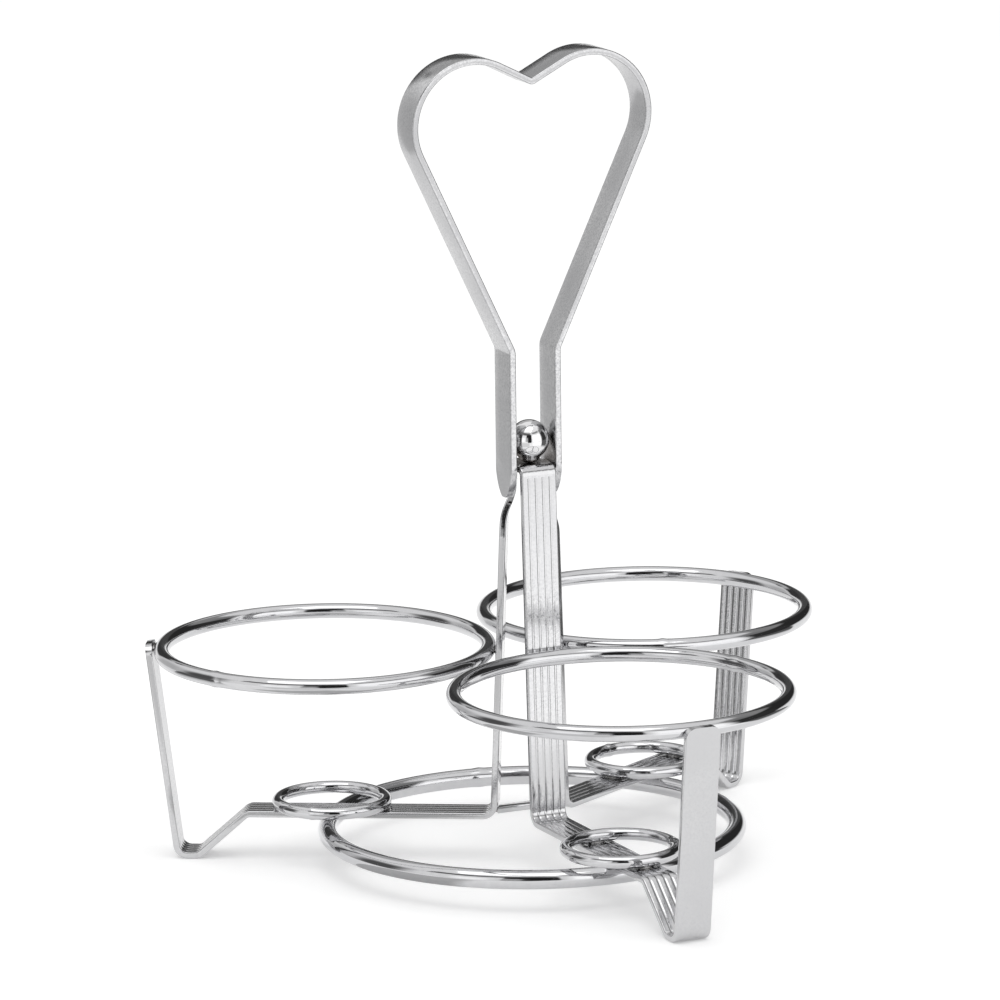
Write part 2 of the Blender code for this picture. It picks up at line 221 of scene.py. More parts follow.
class CaddyStripSizes(bpy.types.PropertyGroup):
    """The reeded strip and its route from the hub to the upright's end."""

    width: length("Width", "Width of the strip", 9.6)
    thickness: length("Thickness", "Thickness of the strip over its reeds", 1.7)
    reeds: IntProperty(name="Reeds", description="Raised reeds across the strip", default=5, min=1)
    reed_pitch: length("Reed pitch", "From one groove to the next", 2.0)
    groove_depth: length("Groove depth", "Depth of a groove below the reeds", 0.135)
    tab_groove: share("Tab grooves", "Part of the groove depth kept on the tab and its bend", 0.25)
    groove_fade: length("Groove fade", "Length over which the tab's grooves reach full depth", 0.5)
    groove_shoulder: length("Groove shoulder", "From a groove's bottom to a reed's flat", 0.42)
    edge_round: length("Edge round", "Rounding of the strip's long edges", 0.32)
    column_reach: length("Column reach", "From the axis to a column's reeds at the jar rings", 8.6)
    column_splay: angle("Column splay", "Lean of the columns, outward at the bottom", 2.4)
    shoulder_height: length("Shoulder height", "Where a column bends in toward the hub", 91.5)
    hub_reach: length("Hub reach", "From the axis to a strip's reeds at the hub", 4.6)
    neck_height: length("Neck height", "Where a strip turns upright at the hub", 97.3)
    neck_bend: length("Neck bend", "Middle radius of the hub's bends", 12.0)
    run_height: length("Run height", "Height of the run's middle plane", 12.1)
    slope_fall: angle("Slope fall", "Fall of the strip from the run to the foot", 41.5)
    foot_flat: length("Foot flat", "Flat of the foot between its two bends", 1.6)
    upright_splay: angle("Upright splay", "Lean of the uprights, outward at the top", 6.8)
    upright_top: length("Upright top", "Height of the upright's end", 56.8)
    low_bend: length("Low bend", "Outside radius of the column's and the foot's bends", 3.9)
    slope_bend: length("Slope bend", "Outside radius of the bend between run and slope", 3.2)
    upright_corner: length("Upright corner", "Rounding of the upright's corners", 2.8)
    tab_top: length("Tab top", "Height of the bent-over tab's top", 104.95)
    tab_length: length("Tab length", "Length of the tab over the hub", 12.0)
    tab_bend: length("Tab bend", "Outside radius of the tab's bend", 2.5)
    tab_corner: length("Tab corner", "Rounding of the tab's corners", 2.0)
    tongue_width: length("Tongue width", "Width of a rear strip's tongue", 3.6)
    tongue_length: length("Tongue length", "Length of a rear strip's tongue", 6.2)
    tongue_shoulder: length("Tongue shoulder", "Length over which the strip narrows", 11.0)
    clearance: length("Clearance", "Space that the pieces keep where they touch", 0.3)


class CaddyHandleSizes(bpy.types.PropertyGroup):
    """The heart handle and the ball between its legs."""

    width: length("Width", "Width of the handle's strip, front to back", 9.5)
    thickness: length("Thickness", "Thickness of the handle's strip", 1.7)
    edge_round: length("Edge round", "Rounding of the strip's long edges", 0.3)
    forward: length("Forward", "How far the handle stands before the axis", 0.5)
    tip_height: length("Tip height", "Height of the legs' lower tips", 96.5)
    tip_length: length("Tip length", "Length of a tip's rounding", 9.4)
    tip_flat: length("Tip flat", "Width left at a tip's end", 1.6)
    tip_taper: FloatProperty(name="Tip taper", description="How slim a tip is, 1 for an ellipse",
                             default=1.4, min=1, max=2)
    leg_space: length("Leg space", "Clear width between the legs", 11.0)
    waist_height: length("Waist height", "Where the legs bend out into the heart", 135.0)
    waist_bend: length("Waist bend", "Middle radius of the waist's bends", 4.0)
    heart_width: length("Heart width", "Width of the heart, outside", 67.2)
    lobe_radius: length("Lobe radius", "Outside radius of a lobe", 17.2)
    lobe_height: length("Lobe height", "Height of the lobes' centres", 194.2)
    crown_fall: angle("Crown fall", "Fall of the straight crown from a lobe to the notch", 27)
    notch_bend: length("Notch bend", "Middle radius of the notch", 1.0)
    ball: length("Ball", "Diameter of the ball", 10.4)
    ball_forward: length("Ball forward", "How far the ball stands before the axis", 0.8)
    ball_lift: length("Ball lift", "Space under the ball, filled by its weld", 0.8)
    collar_gap: length("Collar gap", "Space left under the ball's weld collar", 0.02)
    collar_spread: length("Collar spread", "Height over which the collar widens", 0.55)
    collar_flare: share("Collar flare", "How much the collar widens at its foot", 0.35)


class CaddyFinish(bpy.types.PropertyGroup):
    """Colours and gloss of the chrome."""

    wire_colour: colour("Wire", "Chrome on the wire rings", (0.63, 0.63, 0.64))
    wire_shade: colour("Wire shade", "Duller patches on the wire", (0.56, 0.56, 0.575))
    strip_colour: colour("Strip", "Chrome on the reeded strips", (0.63, 0.63, 0.635))
    strip_shade: colour("Strip shade", "Duller patches on the strips", (0.57, 0.57, 0.58))
    handle_colour: colour("Handle", "Chrome on the handle", (0.64, 0.64, 0.645))
    handle_shade: colour("Handle shade", "Duller patches on the handle", (0.47, 0.47, 0.48))
    ball_colour: colour("Ball", "Chrome on the ball", (0.78, 0.78, 0.785))
    ball_shade: colour("Ball shade", "Duller patches on the ball", (0.70, 0.70, 0.71))
    weld_colour: colour("Weld", "Plated weld metal", (0.46, 0.46, 0.465))
    weld_shade: colour("Weld shade", "Duller patches on the welds", (0.30, 0.29, 0.28))
    # Heat tint round the hub's welds, dark enough to be painted shade where the pieces meet.
    tint_and_shade_colour: colour("Scorch", "Heat tint round the hub's welds", (0.17, 0.145, 0.125))
    wire_roughness: share("Wire roughness", "Roughness of the wire's polish", 0.07)
    strip_roughness: share("Strip roughness", "Roughness of the strips' polish", 0.12)
    handle_roughness: share("Handle roughness", "Roughness of the handle's polish", 0.16)
    ball_roughness: share("Ball roughness", "Roughness of the ball's polish", 0.07)
    weld_roughness: share("Weld roughness", "Roughness of the welds", 0.24)


class CaddyStage(bpy.types.PropertyGroup):
    """Camera, floor, tent wall, lamp and room light."""

    camera_place: FloatVectorProperty(name="Camera place", description="Where the camera stands",
                                      default=(-0.838608, -1.750655, 0.524582), unit="LENGTH")
    camera_turn: angle("Camera turn", "Turn of the camera round the upright axis", -25.2)
    camera_fall: angle("Camera fall", "How far the camera looks down", 12.4)
    camera_roll: angle("Camera roll", "Roll of the camera round its own line", 0.7)
    camera_lens: FloatProperty(name="Lens", description="Focal length in mm", default=280.8)
    floor_colour: colour("Floor", "Colour of the floor", (0.96, 0.96, 0.96))
    floor_glow: share("Floor glow", "Glow that lifts the floor to white", 0.2)
    floor_radius: length("Floor radius", "Radius of the floor", 6000)
    wall_radius: length("Wall radius", "From the axis to the tent wall", 1600)
    wall_height: length("Wall height", "Height of the tent wall", 2600)
    key_power: FloatProperty(name="Key lamp", description="Power of the large lamp", default=5.0,
                             unit="POWER")
    key_place: FloatVectorProperty(name="Key lamp place", description="Where the lamp hangs",
                                   default=(-0.35, -0.35, 1.7), unit="LENGTH")
    key_width: length("Key lamp width", "Width of the lamp's face", 1300)
    key_depth: length("Key lamp depth", "Depth of the lamp's face", 1000)
    world_strength: share("World", "Strength of the room's even light", 0.82)


def outward(place):
    """Level unit vector from the axis to one of the three places."""
    turn = math.radians(PLACES[place])
    return Vector((math.cos(turn), math.sin(turn), 0))


def rack_point(place, reach, height):
    """A point that far from the axis toward one of the three places, at a height."""
    return AXIS + outward(place) * reach + UPRIGHT * height


def close_and_face_out(mesh, merge=MERGED):
    """Merges doubled vertices and turns every face outward."""
    bmesh.ops.remove_doubles(mesh, verts=mesh.verts, dist=merge)
    bmesh.ops.recalc_face_normals(mesh, faces=mesh.faces)


def object_from(mesh, name):
    """An object in the scene with the shape of a bmesh, which it uses up."""
    data = bpy.data.meshes.new(name)
    mesh.to_mesh(data)
    mesh.free()
    made = bpy.data.objects.new(name, data)
    bpy.context.scene.collection.objects.link(made)
    return made


def piece_from(mesh, name, material, replaced):
    """The finished piece of a bmesh, riding on the rack in place of its solids."""
    piece = object_from(mesh, name)
    piece.data.shade_smooth()
    piece.data.set_sharp_from_angle(angle=SHARP_ANGLE)
    piece.data.materials.append(material)
    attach(piece, "root")
    if replaced:
        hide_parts(*replaced)


def round_corners(mesh, corners, radius, steps):
    """Rounds corners of a section face."""
    bmesh.ops.bevel(mesh, geom=corners, affect="VERTICES", offset=radius, segments=steps,
                    profile=0.5, material=-1)


def face_among(items):
    """The one face in what an operator made."""
    return next(item for item in items if isinstance(item, bmesh.types.BMFace))


def extend(mesh, section, move, distance):
    """Extrudes the section face straight on and returns the new one."""
    new = face_among(bmesh.ops.extrude_face_region(mesh, geom=[section])["geom"])
    bmesh.ops.translate(mesh, verts=new.verts[:], vec=move * distance)
    return new


def turn_round(mesh, section, centre, turn, steps):
    """Spins the section face about a line along Y through the centre and returns the last one."""
    made = bmesh.ops.spin(mesh, geom=[section] + section.edges[:] + section.verts[:], cent=centre,
                          axis=BACK, dvec=(0, 0, 0), angle=turn, steps=steps, use_merge=False)
    return face_among(made["geom_last"])


def follow(mesh, section, corners, step):
    """Carries the section face along (point, bend radius) corners in the XZ plane."""
    place = corners[0][0]
    for (corner, radius), (after, _) in zip(corners[1:], corners[2:]):
        arriving = (corner - place).normalized()
        leaving = (after - corner).normalized()
        turn = math.atan2(arriving.z * leaving.x - arriving.x * leaving.z, arriving.dot(leaving))
        start = corner - arriving * radius * math.tan(abs(turn) / 2)
        section = extend(mesh, section, arriving, (start - place).length)
        side = Vector((arriving.z, 0, -arriving.x)) * math.copysign(radius, turn)
        steps = max(2, math.ceil(abs(turn) / step))
        section = turn_round(mesh, section, start + side, turn, steps)
        place = corner + leaving * radius * math.tan(abs(turn) / 2)
    last = corners[-1][0]
    return extend(mesh, section, (last - place).normalized(), (last - place).length)


def cut_through(mesh, near, point, normal, clear=False):
    """Cuts the part that is near by a plane, and can clear what lies beyond."""
    part = [vertex for vertex in mesh.verts if near(vertex.co)]
    inside = set(part)
    for items in (mesh.edges, mesh.faces):
        part += [item for item in items if all(vertex in inside for vertex in item.verts)]
    bmesh.ops.bisect_plane(mesh, geom=part, dist=ON_PLANE, plane_co=point, plane_no=normal,
                           clear_outer=clear)


def round_end(mesh, near, end, along, half_width, flat, reach, cuts, taper=1):
    """Rounds an end to half an ellipse with a flat, by planes that touch it.

    A taper above 1 makes the end slimmer.
    """
    centre = end - along * reach
    curved = half_width - flat
    for side in (1, -1):
        across = BACK * side
        for number in range(1, cuts + 1):
            swing = math.pi / 2 * number / (cuts + 1)
            touch = centre + along * reach * math.sin(swing)
            touch += across * (flat + curved * math.cos(swing) ** taper)
            inward = curved * taper * math.cos(swing) ** (taper - 1) * math.sin(swing)
            normal = along * inward + across * reach * math.cos(swing)
            cut_through(mesh, near, touch, normal.normalized(), clear=True)
            open_edges = [edge for edge in mesh.edges if edge.is_boundary]
            bmesh.ops.holes_fill(mesh, edges=open_edges, sides=0)


def reeded_face(mesh, strip, start, heading, depth_kept):
    """The strip's section as a face at the start of its route, reeds on the left of the heading."""
    left = Vector((-heading.z, 0, heading.x))
    half = strip.width / 2
    crown = strip.thickness / 2
    groove = crown - strip.groove_depth * depth_kept
    shoulder = strip.groove_shoulder
    inner = strip.reeds - 2
    place = -half + (strip.width - inner * strip.reed_pitch) / 2
    outline = [(-crown, -half), (crown, -half)]
    for _ in range(inner + 1):
        outline += [(crown, place - shoulder), (groove, place), (crown, place + shoulder)]
        place += strip.reed_pitch
    outline += [(crown, half), (-crown, half)]
    corners = [mesh.verts.new(start + left * depth + BACK * aside) for depth, aside in outline]
    mesh.faces.new(corners)
    round_corners(mesh, corners[:2] + corners[-2:], strip.edge_round, steps=6)
    round_corners(mesh, corners[2:-2], shoulder * GROOVE_ROUNDING, steps=4)
    return mesh.faces[:][0]


def sink_grooves(strip, section, middle, heading):
    """Sinks a section's grooves from the depth kept on the tab to their full depth."""
    left = Vector((-heading.z, 0, heading.x))
    between_edges = strip.width / 2 - strip.edge_round * 1.5
    for vertex in section.verts:
        depth = strip.thickness / 2 - (vertex.co - middle).dot(left)
        if abs(vertex.co.y) < between_edges and depth < strip.thickness / 2:
            vertex.co -= left * depth * (1 / strip.tab_groove - 1)


def column_reach(strip, ring, height):
    """From the axis to a column's reeds at a height."""
    return strip.column_reach + (ring.jar_height - height) * math.tan(strip.column_splay)


def upright_reach(strip, ring, height):
    """From the axis to an upright's middle plane at a height."""
    at_ring = ring.jar_reach + ring.jar_radius + ring.jar_wire / 2 + strip.clearance
    at_ring += strip.thickness / 2 / math.cos(strip.upright_splay)
    return at_ring + (height - ring.jar_height) * math.tan(strip.upright_splay)


def flat_point(reach, height):
    """A point of a route in the XZ plane."""
    return Vector((reach, 0, height))


def lower_corners(strip, ring):
    """Corners of a strip's middle line from the column's foot to the upright's end."""
    half = strip.thickness / 2
    low = strip.low_bend - half
    outer = upright_reach(strip, ring, half)
    outer_leg = low * math.tan((math.pi / 2 - strip.upright_splay) / 2)
    inner = outer - outer_leg - strip.foot_flat - low * math.tan(strip.slope_fall / 2)
    slope = inner - (strip.run_height - half) / math.tan(strip.slope_fall)
    top = flat_point(upright_reach(strip, ring, strip.upright_top), strip.upright_top)
    return [
        (flat_point(column_reach(strip, ring, strip.run_height) - half, strip.run_height), low),
        (flat_point(slope, strip.run_height), strip.slope_bend - half),
        (flat_point(inner, half), low),
        (flat_point(outer, half), low),
        (top, 0),
    ]


def sweep_tab(mesh, strip, section, corners):
    """Sweeps the front strip's tab and its bend with shallow grooves, then sinks the grooves.

    Returns the section and the corners still to follow.
    """
    start, (bend, radius) = corners[0][0], corners[1]
    heading = (bend - start).normalized()
    down = (corners[2][0] - bend).normalized()
    stub = strip.tab_corner * STRIP_STUB
    bent = bend + down * radius * TAB_BEND_END
    sunk = bent + down * strip.groove_fade
    section = extend(mesh, section, heading, stub)
    tab = [(start + heading * stub, 0), corners[1], (bent, 0)]
    section = follow(mesh, section, tab, STRIP_STEP)
    section = extend(mesh, section, down, strip.groove_fade)
    sink_grooves(strip, section, sunk, down)
    return section, [(sunk, 0)] + corners[2:]


def leg_mesh(strip, ring, front):
    """A leg strip in the XZ plane, with the rack's axis at X = 0."""
    half = strip.thickness / 2
    tab_height = strip.tab_top - half
    if front:
        face = column_reach(strip, ring, tab_height)
        corners = [(flat_point(face - strip.tab_length, tab_height), 0),
                   (flat_point(face - half, tab_height), strip.tab_bend - half)]
    else:
        hub = strip.hub_reach - half
        shoulder = column_reach(strip, ring, strip.shoulder_height) - half
        corners = [(flat_point(hub, strip.tab_top - strip.thickness - strip.clearance), 0),
                   (flat_point(hub, strip.neck_height), strip.neck_bend),
                   (flat_point(shoulder, strip.shoulder_height), strip.neck_bend)]
    corners += lower_corners(strip, ring)
    start, end = corners[0][0], corners[-1][0]
    heading = (corners[1][0] - start).normalized()
    along = (end - corners[-2][0]).normalized()
    stub = strip.upright_corner * STRIP_STUB
    corners[-1] = (end - along * stub, 0)
    mesh = bmesh.new()
    section = reeded_face(mesh, strip, start, heading, strip.tab_groove if front else 1)
    if front:
        section, corners = sweep_tab(mesh, strip, section, corners)
    section = follow(mesh, section, corners, STRIP_STEP)
    extend(mesh, section, along, stub)
    close_and_face_out(mesh)
    full = strip.width / 2
    margin = STRIP_STUB + STUB_MARGIN
    top = end - along * strip.upright_corner * margin
    round_end(mesh, lambda co: (co - top).dot(along) > 0 and co.x > top.x / 2, end, along, full,
              full - strip.upright_corner, strip.upright_corner, cuts=7)
    if front:
        tab = start + heading * strip.tab_corner * margin
        round_end(mesh, lambda co: (co - tab).dot(heading) < 0 and co.z > tab.z - strip.thickness,
                  start, -heading, full, full - strip.tab_corner, strip.tab_corner, cuts=5)
    else:
        narrow_tongue(mesh, strip, start.z)
    close_and_face_out(mesh, MERGED / 10)
    return mesh


def narrow_tongue(mesh, strip, top):
    """Draws a rear strip's upper end in to its tongue along a smooth shoulder."""
    reach = strip.column_reach * 2
    high = top - strip.tongue_length
    low = high - strip.tongue_shoulder
    for number in range(TONGUE_CUTS + 1):
        level = UPRIGHT * (low + (high - low) * number / TONGUE_CUTS)
        cut_through(mesh, lambda co: co.x < reach, level, UPRIGHT)
    for vertex in mesh.verts:
        if vertex.co.x < reach and vertex.co.z > low:
            rise = min((vertex.co.z - low) / strip.tongue_shoulder, 1)
            eased = rise * rise * (3 - 2 * rise)
            vertex.co.y *= 1 + (strip.tongue_width / strip.width - 1) * eased


def mark_across(mesh):
    """Stores each vertex's place across the strip, which the drawn lines follow."""
    layer = mesh.verts.layers.float.new("across")
    for vertex in mesh.verts:
        vertex[layer] = vertex.co.y


def add_ring(ring, name, radius, wire, centre, seam, turns, sides):
    """Adds a closed wire ring, a little proud at its butt weld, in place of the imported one."""
    mesh = bmesh.new()
    stand = Matrix.Translation((radius, 0, 0)) @ Matrix.Rotation(math.pi / 2, 4, "X")
    bmesh.ops.create_circle(mesh, segments=sides, radius=wire / 2, matrix=stand)
    bmesh.ops.spin(mesh, geom=mesh.verts[:] + mesh.edges[:], cent=(0, 0, 0), axis=UPRIGHT,
                   dvec=(0, 0, 0), angle=math.tau, steps=turns, use_merge=True)
    close_and_face_out(mesh)
    for vertex in mesh.verts:
        run = vertex.co.xy.length * math.atan2(vertex.co.y, vertex.co.x)
        middle = Vector((vertex.co.x, vertex.co.y, 0)).normalized() * radius
        swell = ring.seam_swell * math.exp(-(run / (wire * SEAM_SPREAD)) ** 2)
        vertex.co += (vertex.co - middle).normalized() * swell
    bmesh.ops.rotate(mesh, verts=mesh.verts, cent=(0, 0, 0),
                     matrix=Matrix.Rotation(math.radians(seam), 3, "Z"))
    bmesh.ops.translate(mesh, verts=mesh.verts, vec=centre)
    piece_from(mesh, f"{name}_wire", finish_of("wire"), [name])


def feed(tree, made, inputs):
    """Links a node's inputs to sockets, or gives them plain values."""
    for name, value in inputs.items():
        if isinstance(value, bpy.types.NodeSocket):
            tree.links.new(value, made.inputs[name])
        else:
            made.inputs[name].default_value = value


def node(tree, kind, inputs, **settings):
    """A new shader node with its settings and inputs."""
    made = tree.nodes.new(f"ShaderNode{kind}")
    for name, value in settings.items():
        setattr(made, name, value)
    feed(tree, made, inputs)
    return made


def maths(tree, operation, *values):
    """A product or the like of numbers and sockets."""
    return node(tree, "Math", dict(enumerate(values)), operation=operation).outputs["Value"]


def vector_maths(tree, operation, *vectors):
    """The same of vectors. A length comes back as a value."""
    made = node(tree, "VectorMath", dict(enumerate(vectors)), operation=operation)
    return made.outputs["Value" if operation == "LENGTH" else "Vector"]


def mapped(tree, value, low, high, start=0, end=1, kind="LINEAR"):
    """Maps a value from start and end onto low and high, each a number or a socket."""
    inputs = {"Value": value, "From Min": start, "From Max": end, "To Min": low, "To Max": high}
    return node(tree, "MapRange", inputs, interpolation_type=kind).outputs["Result"]


def spread(tree, cloud, low, high):
    """Maps the middle of a noise's range onto a range of values."""
    return mapped(tree, cloud, low, high, start=0.35, end=0.65)


def mixed(tree, factor, *colours):
    """A colour mixed from two by a factor; each is a colour or a socket."""
    one, other = (each if isinstance(each, bpy.types.NodeSocket) else (*each, 1)
                  for each in colours)
    inputs = {"Factor": factor, "A": one, "B": other}
    return node(tree, "Mix", inputs, data_type="RGBA").outputs["Result"]


def fitted(tree, vector, centre, reach):
    """A vector counted from a centre, in units of a reach for each direction."""
    inputs = {"Vector": vector, "Location": centre, "Scale": reach}
    return node(tree, "Mapping", inputs, vector_type="TEXTURE").outputs["Vector"]


def noise_at(tree, place, scale, detail, dimensions="3D"):
    """Noise over a place in cells of about 1 / scale metres."""
    inputs = {"W" if dimensions == "1D" else "Vector": place, "Scale": scale, "Detail": detail}
    return node(tree, "TexNoise", inputs, noise_dimensions=dimensions).outputs["Fac"]


def bumped(tree, height, strength, depth, **under):
    """The normal of a bumpy surface, over another Normal if given."""
    inputs = {"Height": height, "Strength": strength, "Distance": depth, **under}
    return node(tree, "Bump", inputs).outputs["Normal"]


def tree_of(name):
    """A new material, its node tree and its shader."""
    material = bpy.data.materials.new(name)
    material.use_nodes = True
    return material, material.node_tree, material.node_tree.nodes["Principled BSDF"]


def object_place(tree):
    """Coordinates in the object's own space, which is the rack's."""
    return node(tree, "TexCoord", {}).outputs["Object"]


def tint_and_shade_at(tree, place, back, height, reach):
    """Heat tint with painted shade: one near the hub's welds and 0 past an ellipsoid round them,
    with a blotched border.
    """
    centre = AXIS + Vector((0, back, height)) * MM
    away = vector_maths(tree, "LENGTH", fitted(tree, place, centre, Vector(reach) * MM))
    blotches = spread(tree, noise_at(tree, place, TINT_AND_SHADE_BLOTCHES, detail=3), low=0.6, high=1)
    return maths(tree, "MULTIPLY", mapped(tree, away, 1, 0, start=0.7), blotches)


def chrome(name, kind, finish):
    """Bright chrome with dull patches, polish marks, lines drawn along a strip, and heat tint with
    painted shade at the hub.
    """
    material, tree, shader = tree_of(name)
    bright, shade, roughness = (getattr(finish, f"{kind}_{part}")
                                for part in ("colour", "shade", "roughness"))
    place = object_place(tree)
    patch_scale, patch_share = PATCHES
    grain, grain_share = GRAINS.get(kind, PLAIN_GRAIN)
    marks = noise_at(tree, place, grain, detail=4)
    patches = noise_at(tree, place, patch_scale, detail=3)
    tint = mixed(tree, spread(tree, patches, 0, patch_share), bright, shade)
    tint = mixed(tree, spread(tree, marks, 0, grain_share), tint, shade)
    rough = spread(tree, marks, *(roughness * part for part in POLISH))
    # Heat tint round the hub's welds, darkened to paint the shade between the ball, tab and legs.
    if kind in HUB_TINT_AND_SHADE:
        hub_darkening = tint_and_shade_at(tree, place, *HUB_TINT_AND_SHADE[kind])
        cover = maths(tree, "MULTIPLY", hub_darkening, TINT_AND_SHADE_COVER)
        tint = mixed(tree, cover, tint, finish.tint_and_shade_colour)
        rough = maths(tree, "MULTIPLY_ADD", hub_darkening, SCORCH_DULLING, rough)
    ripple_scale, ripple_depth = RIPPLES.get(kind, PLAIN_RIPPLE)
    ripples = noise_at(tree, place, ripple_scale, detail=2)
    normal = bumped(tree, ripples, RIPPLE_STRENGTH, ripple_depth)
    if kind in DRAWN:
        across = node(tree, "Attribute", {}, attribute_name="across").outputs["Fac"]
        line_scale, line_depth = LINES
        lines = noise_at(tree, across, line_scale, detail=3, dimensions="1D")
        normal = bumped(tree, lines, DRAWN[kind], line_depth, Normal=normal)
    feed(tree, shader, {"Base Color": tint, "Metallic": 1, "Roughness": rough, "Normal": normal})
    return material


def finish_of(kind):
    """The chrome of a kind of piece, made once."""
    name = f"{kind}_chrome_finish"
    return bpy.data.materials.get(name) or chrome(name, kind, bpy.context.scene.caddy_finish)


class CADDY_OT_leg_strips(bpy.types.Operator):
    """Models the three reeded strips."""

    bl_idname = "caddy.leg_strips"
    bl_label = "Leg strips"

    def execute(self, context):
        scene = context.scene
        for place, turn in PLACES.items():
            mesh = leg_mesh(scene.caddy_strips, scene.caddy_rings, place == "front")
            mark_across(mesh)
            bmesh.ops.rotate(mesh, verts=mesh.verts, cent=(0, 0, 0),
                             matrix=Matrix.Rotation(math.radians(turn), 3, "Z"))
            bmesh.ops.translate(mesh, verts=mesh.verts, vec=AXIS)
            piece_from(mesh, f"leg_strip_{place}_reeded", finish_of("strip"),
                       [f"leg_strip_{place}"])
        return {"FINISHED"}


class CADDY_OT_rear_tie(bpy.types.Operator):
    """Models the flat bar between the rear strips."""

    bl_idname = "caddy.rear_tie"
    bl_label = "Rear tie"

    def execute(self, context):
        mesh = bmesh.new()
        mesh.from_mesh(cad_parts["rear_tie"].data)
        close_and_face_out(mesh)
        bmesh.ops.dissolve_limit(mesh, angle_limit=math.radians(1), verts=mesh.verts,
                                 edges=mesh.edges)
        bmesh.ops.bevel(mesh, geom=mesh.edges, affect="EDGES", offset=TIE_ROUNDING, segments=3,
                        profile=0.5, material=-1)
        mark_across(mesh)
        piece_from(mesh, "rear_tie_bar", finish_of("strip"), ["rear_tie"])
        return {"FINISHED"}


class CADDY_OT_jar_rings(bpy.types.Operator):
    """Models the three wire rings that carry the jars."""

    bl_idname = "caddy.jar_rings"
    bl_label = "Jar rings"

    def execute(self, context):
        ring = context.scene.caddy_rings
        for place in PLACES:
            add_ring(ring, f"jar_ring_{place}", ring.jar_radius, ring.jar_wire,
                     rack_point(place, ring.jar_reach, ring.jar_height), JAR_SEAMS[place],
                     ring.turns, ring.sides)
        return {"FINISHED"}


class CADDY_OT_seat_rings(bpy.types.Operator):
    """Models the three small rings that the jars stand on."""

    bl_idname = "caddy.seat_rings"
    bl_label = "Seat rings"

    def execute(self, context):
        ring = context.scene.caddy_rings
        for place, turn in PLACES.items():
            add_ring(ring, f"seat_ring_{place}", ring.seat_radius, ring.seat_wire,
                     rack_point(place, ring.seat_reach, ring.seat_height), turn + SEAT_SEAM,
                     ring.turns // 2, ring.sides - 4)
        return {"FINISHED"}


class CADDY_OT_base_ring(bpy.types.Operator):
    """Models the thick ring under the runs."""

    bl_idname = "caddy.base_ring"
    bl_label = "Base ring"

    def execute(self, context):
        ring = context.scene.caddy_rings
        add_ring(ring, "base_ring", ring.base_radius, ring.base_wire,
                 AXIS + UPRIGHT * ring.base_height, BASE_SEAM, ring.turns, ring.sides)
        return {"FINISHED"}


class CADDY_OT_handle(bpy.types.Operator):
    """Models the heart-shaped handle."""

    bl_idname = "caddy.handle"
    bl_label = "Handle"

    def execute(self, context):
        handle = context.scene.caddy_handle
        mesh = handle_mesh(handle)
        mark_across(mesh)
        bmesh.ops.translate(mesh, verts=mesh.verts, vec=AXIS - Vector((0, handle.forward, 0)))
        piece_from(mesh, "handle_heart", finish_of("handle"), ["handle"])
        return {"FINISHED"}


def handle_mesh(handle):
    """The handle in the XZ plane: one half bent from the tip to the notch, then mirrored."""
    half = handle.thickness / 2
    leg = handle.leg_space / 2 + half
    waist = flat_point(leg, handle.waist_height)
    radius = handle.lobe_radius - half
    lobe = flat_point(handle.heart_width / 2 - handle.lobe_radius, handle.lobe_height)
    to_lobe = lobe - waist
    flank = math.atan2(to_lobe.z, to_lobe.x) - math.asin(radius / to_lobe.length)
    touch = lobe + flat_point(math.sin(flank), -math.cos(flank)) * radius
    fall = handle.crown_fall
    crown = flat_point(-math.sin(fall), math.cos(fall))
    heading = flat_point(-math.cos(fall), -math.sin(fall))
    leave = lobe + crown * radius
    notch_start = leave.x / math.cos(fall) - handle.notch_bend * math.tan(fall)
    valley = leave + heading * notch_start + crown * handle.notch_bend
    tip = flat_point(leg, handle.tip_height)
    stub = handle.tip_length * HANDLE_STUB
    mesh = bmesh.new()
    bmesh.ops.create_grid(mesh, x_segments=1, y_segments=1, size=0.5)
    bmesh.ops.scale(mesh, verts=mesh.verts, vec=(handle.thickness, handle.width, 1))
    round_corners(mesh, mesh.verts[:], handle.edge_round, steps=4)
    bmesh.ops.translate(mesh, verts=mesh.verts, vec=tip)
    section = extend(mesh, mesh.faces[:][0], UPRIGHT, stub)
    corners = [(tip + UPRIGHT * stub, 0), (waist, handle.waist_bend), (touch, 0)]
    section = follow(mesh, section, corners, HANDLE_STEP)
    section = turn_round(mesh, section, lobe, flank - math.pi - fall, steps=72)
    section = extend(mesh, section, heading, notch_start)
    section = turn_round(mesh, section, valley, fall, steps=6)
    bmesh.ops.delete(mesh, geom=[section], context="FACES_ONLY")
    close_and_face_out(mesh)
    round_tip(mesh, handle, tip)
    snap = 0.01 * MM
    for vertex in mesh.verts:
        if abs(vertex.co.x) < snap:
            vertex.co.x = 0
    bmesh.ops.mirror(mesh, geom=mesh.verts[:] + mesh.edges[:] + mesh.faces[:],
                     matrix=Matrix.Identity(4), merge_dist=snap / 2, axis="X")
    close_and_face_out(mesh)
    return mesh


def round_tip(mesh, handle, tip):
    """Rounds a leg's lower tip, with a cap on the other end of the half meanwhile."""
    top_edges = [edge for edge in mesh.edges if edge.is_boundary]
    cap = bmesh.ops.holes_fill(mesh, edges=top_edges, sides=0)["faces"]
    near_tip = tip.z + handle.tip_length * (HANDLE_STUB + STUB_MARGIN)
    round_end(mesh, lambda co: co.z < near_tip, tip, -UPRIGHT, handle.width / 2,
              handle.tip_flat / 2, handle.tip_length, cuts=11, taper=handle.tip_taper)
    bmesh.ops.delete(mesh, geom=[face for face in cap if face.is_valid], context="FACES_ONLY")


